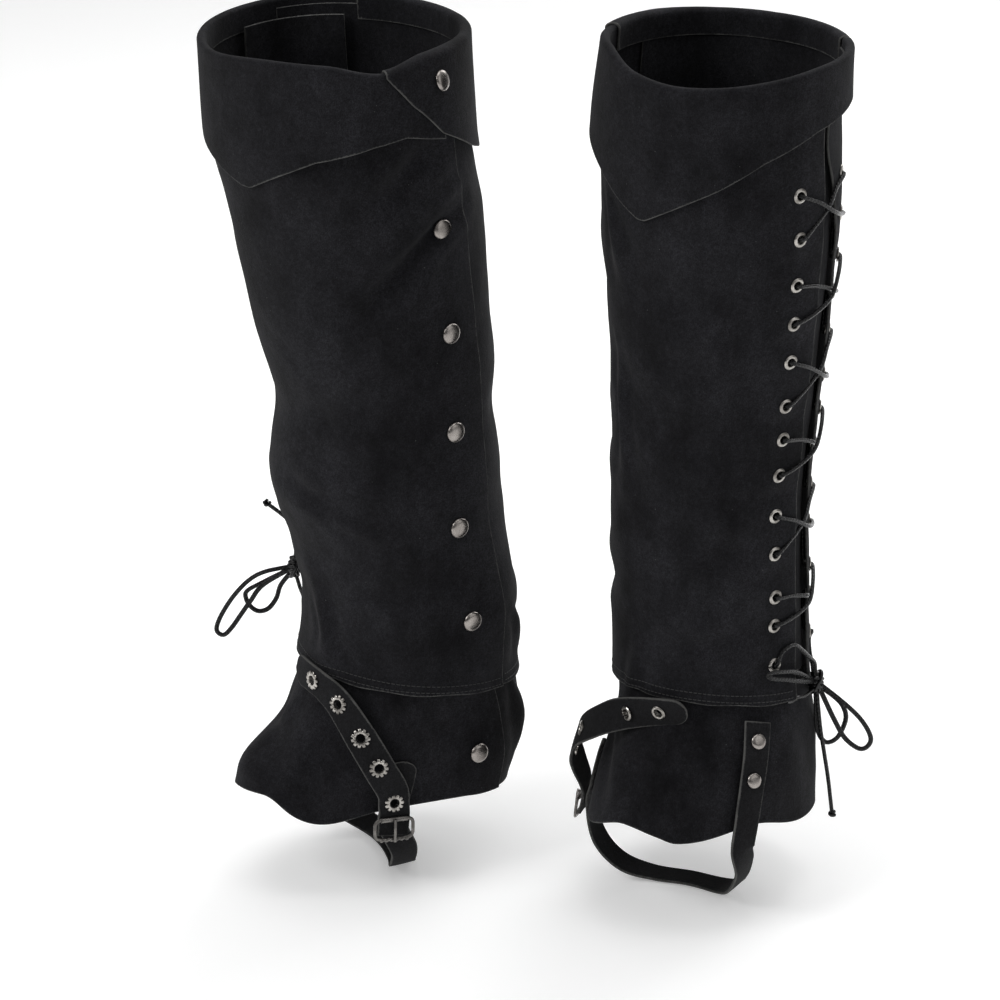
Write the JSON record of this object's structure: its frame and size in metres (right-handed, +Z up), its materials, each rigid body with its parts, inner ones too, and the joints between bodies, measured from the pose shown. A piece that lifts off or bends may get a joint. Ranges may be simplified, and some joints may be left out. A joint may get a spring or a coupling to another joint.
{
  "type": "pair of boot covers",
  "caption": "Pair of knee-high black faux-suede boot covers with turned-down collars, snap plackets, side lacing with bows, instep straps and sole straps.",
  "frame": {"origin": "centre of the left cover's ankle ring, where the wearer's leg holds it, 150 mm above the floor", "axes": "+Z up along the legs, -Y the way the wearer faces, +X to the wearer's left"},
  "size_m": [0.3549, 0.2975, 0.5274],
  "materials": {
    "suede": "napped faux suede, near black",
    "strap": "smooth black strap with pale cut edges",
    "nickel": "gunmetal nickel plate",
    "lace": "waxed black cord"
  },
  "bodies": {
    "root": {"bow_knot_left": "lace", "bow_knot_right": "lace", "bow_loop_1_left": "lace", "bow_loop_1_right": "lace", "bow_loop_2_left": "lace", "bow_loop_2_right": "lace", "bow_loop_3_left": "lace", "buckle_frame_left": "nickel", "buckle_frame_right": "nickel", "buckle_prong_left": "nickel", "buckle_prong_right": "nickel", "collar_back_left": "suede", "collar_back_right": "suede", "collar_front_left": "suede", "collar_front_right": "suede", "foot_back_left": "suede", "foot_back_right": "suede", "foot_front_left": "suede", "foot_front_right": "suede", "instep_strap_left": "strap", "instep_strap_right": "strap", "lace_a_left": "lace", "lace_a_right": "lace", "lace_b_left": "lace", "lace_b_right": "lace", "lace_end_1_left": "lace", "lace_end_1_right": "lace", "lace_end_2_right": "lace", "lace_tongue_left": "suede", "lace_tongue_right": "suede", "rivet_1_left": "nickel", "rivet_1_right": "nickel", "rivet_2_left": "nickel", "rivet_2_right": "nickel", "shaft_back_left": "suede", "shaft_back_right": "suede", "shaft_front_left": "suede", "shaft_front_right": "suede", "snap_1_left": "nickel", "snap_1_right": "nickel", "snap_2_left": "nickel", "snap_2_right": "nickel", "snap_3_left": "nickel", "snap_3_right": "nickel", "snap_4_left": "nickel", "snap_4_right": "nickel", "snap_5_left": "nickel", "snap_5_right": "nickel", "snap_6_left": "nickel", "snap_6_right": "nickel", "snap_7_left": "nickel", "snap_7_right": "nickel", "sole_strap_left": "strap", "sole_strap_right": "strap"}
  },
  "joints": []
}
